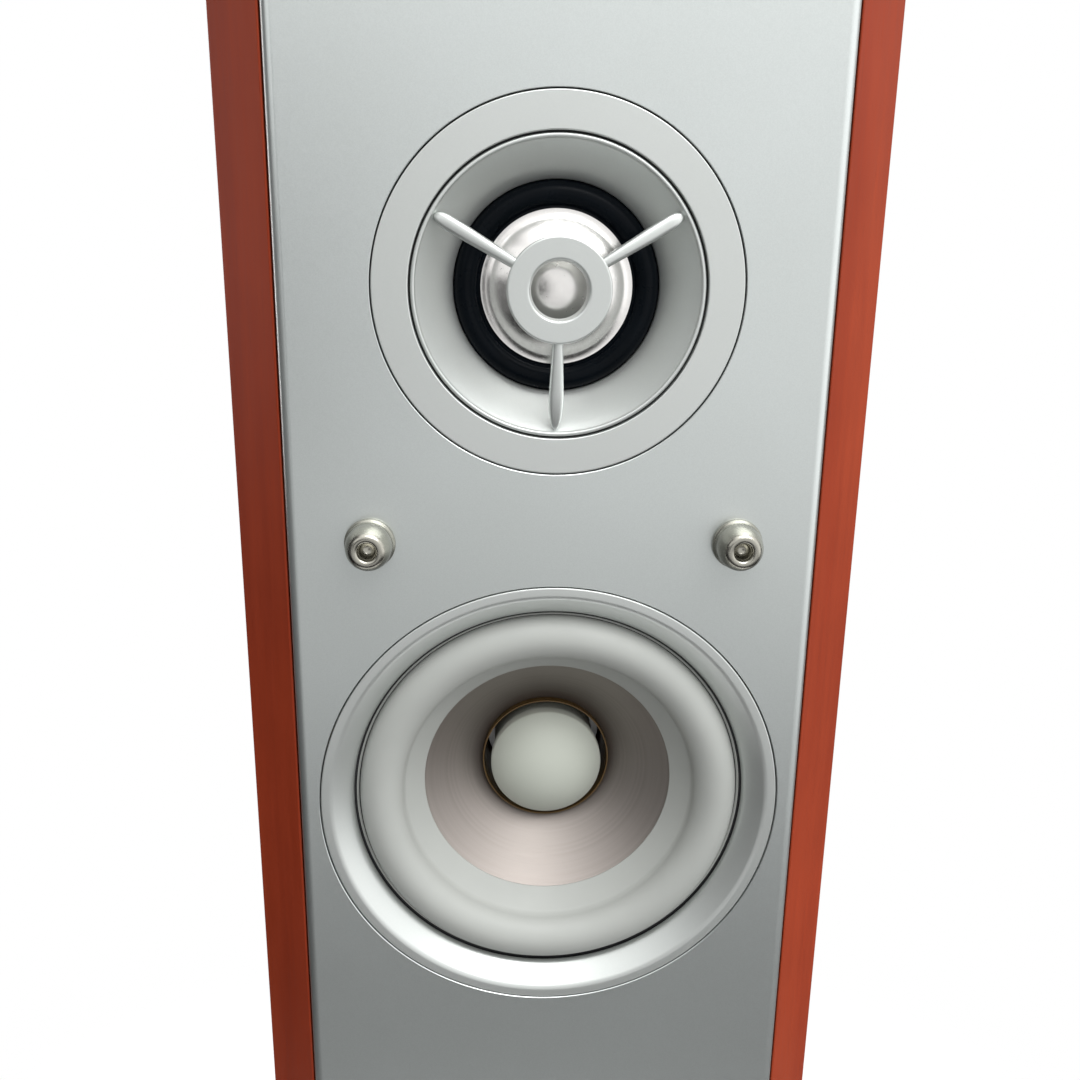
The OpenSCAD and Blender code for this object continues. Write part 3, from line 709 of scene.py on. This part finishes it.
def make_tweeter_surround():
    """A rubber half roll that bulges forwards, between the horn and the dome."""
    c = (25.1, 13.6)
    profile = [(33.2, 14.35), (28.5, 14.35)] + arc(c, 3.4, 0, -165, 24)
    profile += [(21.06, 12.4), (21.06, 12.9), (21.9, 13.1)]
    profile += arc(c, 2.9, -165, 0, 24) + [(28.0, 14.85), (33.2, 14.85)]
    obj = lathe("tweeter_rubber_surround", soften(profile, 0.3), TWEETER, INTO_FRONT, 192)
    flex(obj, "tweeter_surround", "tweeter_diaphragm", TWEETER, 28.4, 21.9)


def make_dome():
    """A thin foil dome that turns out flat at its rim, where the surround is glued on."""
    foil, rim_r, rim_z, rise, brim_r = 0.35, 21.0, 12.2, 6.6, 5.0
    slope = 2 * math.atan(rise / rim_r)
    cap_r = rim_r / math.sin(slope) - brim_r
    slope = math.degrees(slope)
    front = arc((0, rim_z - rise + cap_r), cap_r, -90, -90 + slope, 36)
    front[0] = (0, rim_z - rise)
    front += arc((rim_r, rim_z - brim_r), brim_r, 90 + slope, 90, 12)[1:]
    back = [(r, z + foil) for r, z in reversed(front)]
    obj = lathe("tweeter_metal_dome", front + back, TWEETER, INTO_FRONT, 192)
    place(obj, "tweeter_dome")


def make_bridge():
    """The phase bridge: a ring in front of the dome, on three arms that reach the horn's rim."""
    profile = [(7.4, 0.6), (8.0, -3.0), (14.1, -3.0), (14.0, 0.6)]
    ring = lathe("bridge_ring", soften(profile, 0.7, steps=5), TWEETER, INTO_FRONT, 192)
    arms = [make_arm(90.6, 0.58, 2.05), make_arm(209.8, 0.84, 1.95), make_arm(329.0, 0.84, 1.95)]
    for obj in (ring, *arms):
        place(obj, "tweeter_phase_bridge")


def make_arm(turn, blunt, widest):
    """A slim blade from the ring to the horn's rim, rounded off past the share blunt of its length."""
    start, length, root_w = 12.8, 25.1, 1.45
    stations = 36
    sides = 20
    u, v, w = INTO_FRONT
    a = math.radians(turn)
    along = u * math.cos(a) + v * math.sin(a)
    across = u * -math.sin(a) + v * math.cos(a)
    bm = bmesh.new()
    rings = []
    for i in range(stations + 1):
        t = math.sin(math.pi / 2 * i / stations)
        r = start + length * t
        tip = math.sqrt(max(0.0, 1 - max(0.0, (t - blunt) / (1 - blunt)) ** 2.2))
        swell = min(1.0, t / 0.6)
        half_w = (root_w + (widest - root_w) * swell) * max(0.05, tip)
        front = -2.2 + 2.3 * t ** 1.5
        back = 1.2 + 1.6 * t
        mid_z = (front + back) / 2
        half_z = (back - front) / 2 * max(0.15, tip)
        rings.append([
            bm.verts.new((
                along * r
                + across * half_w * math.copysign(abs(math.cos(b)) ** 0.75, math.cos(b))
                + w * (mid_z + half_z * math.copysign(abs(math.sin(b)) ** 0.85, math.sin(b)))
            ) * MM)
            for b in (2 * math.pi * k / sides for k in range(sides))
        ])
    for near, far in zip(rings, rings[1:]):
        for k in range(sides):
            m = (k + 1) % sides
            bm.faces.new((near[k], near[m], far[m], far[k]))
    bm.faces.new(rings[0])
    bm.faces.new(rings[-1])
    obj = finish_mesh(bm, "bridge_arm_%d" % turn, TWEETER)
    smooth(obj, 60)
    return obj


# ------------------------------------------------------------------ woofer

def make_woofer_ring():
    r = TRIM_R
    profile = [
        (r, 0), (r - 2.7, 0), (r - 3.6, 0.35), (r - 8, 4.2), (r - 9, 5.4), (r - 9.3, 6.3),
        (r - 9.3, 6.7), (r, 6.7),
    ]
    obj = lathe("woofer_trim", soften(profile, 0.5), WOOFER, INTO_FRONT, 256)
    place(obj, "woofer_trim_ring")


def make_woofer_surround():
    """A rubber half roll between the trim ring and the cone, with a lip down the cone."""
    c = (51.6, 8.0)
    profile = [(59.2, 7.0), (58.8, 7.3)] + arc(c, 6.6, 0, -180, 28)
    profile += [(44.7, 9.0), (44.2, 9.9), (38.7, 15.5), (39.3, 16.2), (44.9, 10.5), (45.4, 9.6)]
    profile += arc(c, 5.8, -180, 0, 28) + [(57.6, 8.0), (59.2, 8.0)]
    obj = lathe("woofer_rubber_surround", soften(profile, 0.7), WOOFER, INTO_FRONT, 256)
    flex(obj, "woofer_surround", "woofer_diaphragm", WOOFER, 58.0, 45.4)


def make_cone():
    front = [(43.6, 12), (39.4, 16.4), (30, 24.9), (20.7, 32.5)]
    back = [(20.7, 33.6), (30, 25.9), (39.8, 17), (44, 12.6)]
    obj = lathe("woofer_metal_cone", front + back, WOOFER, INTO_FRONT, 256)
    place(obj, "woofer_cone")


def make_former():
    profile = [(20.6, 30), (20.6, 63), (20.25, 63), (20.25, 30)]
    obj = lathe("woofer_coil_former", profile, WOOFER, INTO_FRONT, 192)
    place(obj, "woofer_former")


def make_plug():
    """The white phase plug: a shallow spherical nose, a straight body and a stem behind it."""
    base_r, dome_h, nose, stem_r = 17.9, 9, 18, 16.6
    sphere_r = (base_r ** 2 + dome_h ** 2) / (2 * dome_h)
    edge = math.degrees(math.asin(base_r / sphere_r))
    dome = arc((0, nose + sphere_r), sphere_r, -90, -90 + edge, 24)
    dome[0] = (0, nose)
    profile = dome + [(base_r, 31), (stem_r, 32.5), (stem_r, 54), (0, 54)]
    obj = lathe("woofer_plug", soften(profile, 0.8, least_turn=25), WOOFER, INTO_FRONT, 192)
    place(obj, "woofer_phase_plug")


def make_posts():
    profile = [
        (0, 7), (3.0, 7), (3.0, 0), (POST_R, 0), (POST_R, -1.4), (6.5, -2.2), (6.5, -5), (6.1, -7.1),
        (5.3, -8.9), (4.4, -10), (2.9, -10), (2.3, -8.8), (2.2, -6), (0, -5),
    ]
    for i, centre in enumerate(post_centres()):
        obj = lathe("grille_post_%d" % (i + 1), soften(profile, 0.9), centre, INTO_FRONT, 96)
        place(obj, "grille_posts")


# ------------------------------------------------------------------ rear

def make_port():
    """The port's mouth, flared along a quarter of an ellipse."""
    wall, steps = 3.2, 24
    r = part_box("port_tube")[1].x / MM - wall
    throat = []
    for i in range(steps + 1):
        a = math.radians(90 * i / steps)
        throat.append((r + 15 * (1 - math.cos(a)), 14 - 18 * math.sin(a)))
    profile = [(r, 17), (r, 15)] + throat
    profile += [(46.6, -4), (48, -2.8), (48, 0), (40, 0), (40, 18), (33, 19), (33, 35),
                (30.2, 35), (30.2, 17)]
    obj = lathe("port_mouth", soften(profile, 0.6), PORT, INTO_REAR, 160)
    place(obj, "port_flare")


def make_cup():
    """A plastic cup with a flange, let into the back panel."""
    low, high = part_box("terminal_cup")
    edge, wall = 6.5 * MM, 3 * MM
    size = high - low
    height = Vector((0, 0, CUP.z))

    def block(name, inset, near, far, radius):
        outline = rounded_rectangle(size.x - 2 * inset, size.z - 2 * inset, radius, 5)
        return prism(name, outline, near, far, "Y")

    cup = block("terminal_cup_body", 0, REAR_Y, high.y, 3 * MM)
    cup.data.transform(Matrix.Translation(height))
    shell = block("cutter", edge, low.y, REAR_Y + 0.5 * MM, 2 * MM)
    shell.location = height
    cut(cup, [shell], join=True)
    cavity = block("cutter", edge + wall, low.y + wall, high.y + wall, 2 * MM)
    cavity.location = height
    cut(cup, [cavity])
    bevel(cup, 0.7 * MM, 3, 40)
    smooth(cup, 40)
    place(cup, "terminal_cup")


def make_cup_screws():
    """Four screws at the corners of the cup's flange, with round sockets in their heads."""
    low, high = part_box("cup_screws")
    head, top = 2.8, (REAR_Y - high.y) / MM
    profile = [(0, top + 1.1), (1.5, top + 1.1), (1.5, top + 0.1), (2.1, top), (head, top + 0.9),
               (head, top + 1.6), (1.5, top + 1.6), (1.5, 14), (0, 14)]
    n = 0
    for x in (low.x + head * MM, high.x - head * MM):
        for z in (low.z + head * MM, high.z - head * MM):
            n += 1
            obj = lathe("cup_screw_%d" % n, soften(profile, 0.3), Vector((x, REAR_Y, z)), INTO_REAR, 48)
            place(obj, "cup_screws")


def make_caps():
    """Binding post caps with eight flutes to grip, and a bore for a banana plug."""
    for node in ("cap_positive", "cap_negative"):
        low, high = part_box(node)
        centre = Vector(((low.x + high.x) / 2, REAR_Y, CUP.z))
        end, foot, bore = (REAR_Y - high.y) / MM, (REAR_Y - low.y) / MM, 3.97
        profile = [
            (bore, foot), (6.8, foot), (7, foot - 0.8), (7.6, foot - 1.6), (7.6, foot - 3),
            (7.61, foot - 4), (7.61, end + 3), (7.6, end + 1.6), (6.4, end), (2.9, end),
            (2.6, end + 0.4), (2.6, end + 1.6), (bore, end + 1.6),
        ]
        obj = lathe("binding_" + node, soften(profile, 0.35), centre, INTO_REAR, 144,
                    flutes=(8, 0.9, 7.605))
        place(obj, node)


make_sides()
make_top()
make_fascia()
make_back()
make_plinth()
make_feet()
make_tweeter_ring()
make_horn()
make_tweeter_surround()
make_dome()
make_bridge()
make_woofer_ring()
make_woofer_surround()
make_cone()
make_former()
make_plug()
make_posts()
make_port()
make_cup()
make_cup_screws()
make_caps()

for node_name, node_obj in NODES.items():
    dress(node_obj, node_name)


# ------------------------------------------------------------------ stage and light

def area_light(name, where, target, size, power, spread=180):
    data = bpy.data.lights.new(name, "AREA")
    data.shape = "RECTANGLE"
    data.size, data.size_y = size
    data.energy = power
    data.spread = math.radians(spread)
    light = bpy.data.objects.new(name, data)
    bpy.context.scene.collection.objects.link(light)
    light.location = where
    aim(light, target)


def make_stage():
    """A pale floor, just under the feet, that fades into the white backdrop around it."""
    radius, fade_from, fade_to, below = 0.9, 0.2, 0.8, 0.0005
    bm = bmesh.new()
    bmesh.ops.create_circle(bm, cap_ends=True, radius=radius, segments=128)
    floor = finish_mesh(bm, "floor", (0, 0, -below))
    s = Shader("floor_paper")
    s.colour(s.ramp(s.noise(3, 3), [(0.3, (0.84, 0.84, 0.84)), (0.7, (0.88, 0.88, 0.88))]))
    s.rough(s.spread(s.noise(40, 3), 0.7, 0.8))
    distance = s.node("ShaderNodeVectorMath", operation="LENGTH")
    s.link(s.coord, distance.inputs[0])
    fade = s.node("ShaderNodeMapRange", interpolation_type="SMOOTHERSTEP")
    fade.inputs["From Min"].default_value = fade_from
    fade.inputs["From Max"].default_value = fade_to
    fade.inputs["To Min"].default_value = 1
    fade.inputs["To Max"].default_value = 0
    s.link(distance.outputs["Value"], fade.inputs["Value"])
    s.link(fade.outputs["Result"], s.bsdf.inputs["Alpha"])
    floor.data.materials.append(s.material)


def grey_ramp(tree, value, low, high, stops):
    """A grey that follows stops over a value from low to high."""
    spread = tree.nodes.new("ShaderNodeMapRange")
    spread.inputs["From Min"].default_value = low
    spread.inputs["From Max"].default_value = high
    tree.links.new(value, spread.inputs["Value"])
    ramp = tree.nodes.new("ShaderNodeValToRGB")
    elements = ramp.color_ramp.elements
    while len(elements) < len(stops):
        elements.new(0.5)
    for element, (at, grey) in zip(elements, stops):
        element.position = (at - low) / (high - low)
        element.color = (grey, grey, grey, 1)
    tree.links.new(spread.outputs["Result"], ramp.inputs["Fac"])
    return ramp.outputs["Color"]


def mixed(tree, fac, a, b, blend="MIX"):
    """Mixes two colours by fac, a number or a socket."""
    mix = tree.nodes.new("ShaderNodeMix")
    mix.data_type = "RGBA"
    mix.blend_type = blend
    if isinstance(fac, (int, float)):
        mix.inputs["Factor"].default_value = fac
    else:
        tree.links.new(fac, mix.inputs["Factor"])
    tree.links.new(a, mix.inputs["A"])
    tree.links.new(b, mix.inputs["B"])
    return mix.outputs["Result"]


# Brightness of the studio in front of the speaker and behind it: by height, and from left to right
FRONT_BY_HEIGHT = [(-1.0, 0.04), (-0.68, 0.02), (-0.52, 0.08), (-0.36, 0.68), (-0.2, 1.02), (0.2, 1.0),
                   (0.6, 1.15), (1.0, 1.8)]
FRONT_BY_SIDE = [(-1.0, 0.10), (-0.68, 0.2), (-0.5, 0.85), (-0.3, 1.2), (0.0, 1.0), (0.4, 1.03), (0.7, 1.4),
                 (1.0, 1.6)]
BACK_BY_HEIGHT = [(-1.0, 0.05), (-0.15, 0.10), (0.1, 0.5), (0.3, 0.8), (1.0, 1.8)]
BACK_BY_SIDE = [(-1.0, 0.03), (-0.6, 0.10), (-0.1, 0.8), (0.4, 1.0), (1.0, 1.0)]
# The dark patch that the photographer leaves in the studio: direction, and cosines of its edges
PATCH = Vector((-0.30, -0.95, -0.05)).normalized()
PATCH_EDGE = [(0.965, 1.0), (0.988, 0.1)]


def make_world():
    """A soft studio, brighter above and to the right, behind a plain white backdrop."""
    world = bpy.data.worlds.new("studio")
    bpy.context.scene.world = world
    world.use_nodes = True
    tree = world.node_tree
    light = tree.nodes["Background"]
    coord = tree.nodes.new("ShaderNodeTexCoord")
    split = tree.nodes.new("ShaderNodeSeparateXYZ")
    tree.links.new(coord.outputs["Generated"], split.inputs["Vector"])
    front = mixed(tree, 1, grey_ramp(tree, split.outputs["Z"], -1, 1, FRONT_BY_HEIGHT),
                  grey_ramp(tree, split.outputs["X"], -1, 1, FRONT_BY_SIDE), "MULTIPLY")
    back = mixed(tree, 1, grey_ramp(tree, split.outputs["Z"], -1, 1, BACK_BY_HEIGHT),
                 grey_ramp(tree, split.outputs["X"], -1, 1, BACK_BY_SIDE), "MULTIPLY")
    back_share = grey_ramp(tree, split.outputs["Y"], -1, 1, [(0.0, 0.0), (0.25, 1.0)])
    towards = tree.nodes.new("ShaderNodeVectorMath")
    towards.operation = "DOT_PRODUCT"
    towards.inputs[1].default_value = PATCH
    tree.links.new(coord.outputs["Generated"], towards.inputs[0])
    patch = grey_ramp(tree, towards.outputs["Value"], -1, 1, PATCH_EDGE)
    sky = mixed(tree, 1, mixed(tree, back_share, front, back), patch, "MULTIPLY")
    tree.links.new(sky, light.inputs["Color"])
    backdrop = tree.nodes.new("ShaderNodeBackground")
    path = tree.nodes.new("ShaderNodeLightPath")
    shown = tree.nodes.new("ShaderNodeMixShader")
    tree.links.new(path.outputs["Is Camera Ray"], shown.inputs["Fac"])
    tree.links.new(light.outputs["Background"], shown.inputs[1])
    tree.links.new(backdrop.outputs["Background"], shown.inputs[2])
    tree.links.new(shown.outputs["Shader"], tree.nodes["World Output"].inputs["Surface"])
    backdrop.inputs["Color"].default_value = (1, 1, 1, 1)


make_stage()
make_world()
area_light("key", (0.35, -0.60, 1.80), TWEETER, (1.0, 1.0), 13)
area_light("left_fill", (-0.42, -0.42, 1.05), TWEETER + Vector((-0.09, 0, 0.06)), (0.3, 0.3), 0.12,
           spread=120)
area_light("left_side", (-1.2, 0.9, 1.0), (0, 0, 0.5), (0.8, 1.2), 9)
area_light("back", (0.5, 1.5, 1.1), (0, 0, 0.5), (1.0, 1.0), 10)
bpy.context.scene.view_settings.view_transform = "Standard"
